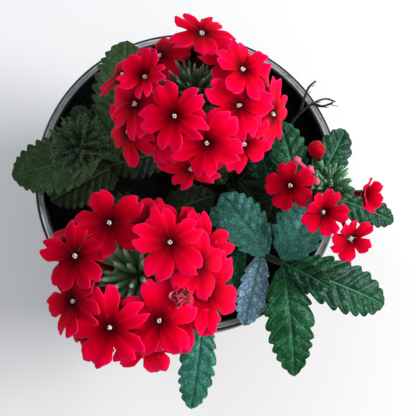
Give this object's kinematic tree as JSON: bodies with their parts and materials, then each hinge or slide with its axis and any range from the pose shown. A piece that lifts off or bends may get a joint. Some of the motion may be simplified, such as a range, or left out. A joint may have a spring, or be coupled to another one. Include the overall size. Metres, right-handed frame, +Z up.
{
  "type": "potted verbena",
  "caption": "Flowering garden verbena rooted in a round tapered nursery pot, with domed flower heads, a young head, an unopened head and toothed leaves spreading over the rim.",
  "frame": {"origin": "centre of the flat underside of the pot", "axes": "+Z up along the pot's axis, -Z out of its underside, +Y towards the full upper head, +X towards the young head on the right"},
  "size_m": [0.1441, 0.148, 0.1815],
  "materials": {
    "pot": "thin black thermoformed plastic, glossy with fine scuffs and a bright worn rim",
    "potting_mix": "damp black crumbly peat potting mix",
    "roots": "dry wiry dark roots",
    "foliage": "quilted dark green leaf, semi-gloss with a bluish sheen and impressed veins",
    "calyces": "downy green calyx tubes",
    "petals": "velvety crimson petals, dark maroon at the throat and paler at the edge",
    "buds": "smooth satin red and pink buds"
  },
  "bodies": {
    "root": {"pot": "pot", "potting_mix": "potting_mix", "dry_roots": "roots", "shoot_a": "foliage", "shoot_b": "foliage", "shoot_c": "foliage", "shoot_d": "foliage", "shoot_e": "foliage", "shoot_f": "foliage", "head_a_florets": "petals", "head_a_young_calyces": "calyces", "head_b_florets": "petals", "head_b_young_calyces": "calyces", "head_b_bud_5": "buds", "head_b_bud_6": "buds", "head_c_calyces": "calyces", "head_c_floret_1": "petals", "head_c_floret_2": "petals", "head_c_floret_3": "petals", "head_c_floret_4": "petals", "head_c_bud_1": "buds", "head_c_bud_2": "buds", "head_c_bud_3": "buds", "head_c_bud_4": "buds", "head_d_calyces": "calyces"}
  },
  "joints": []
}
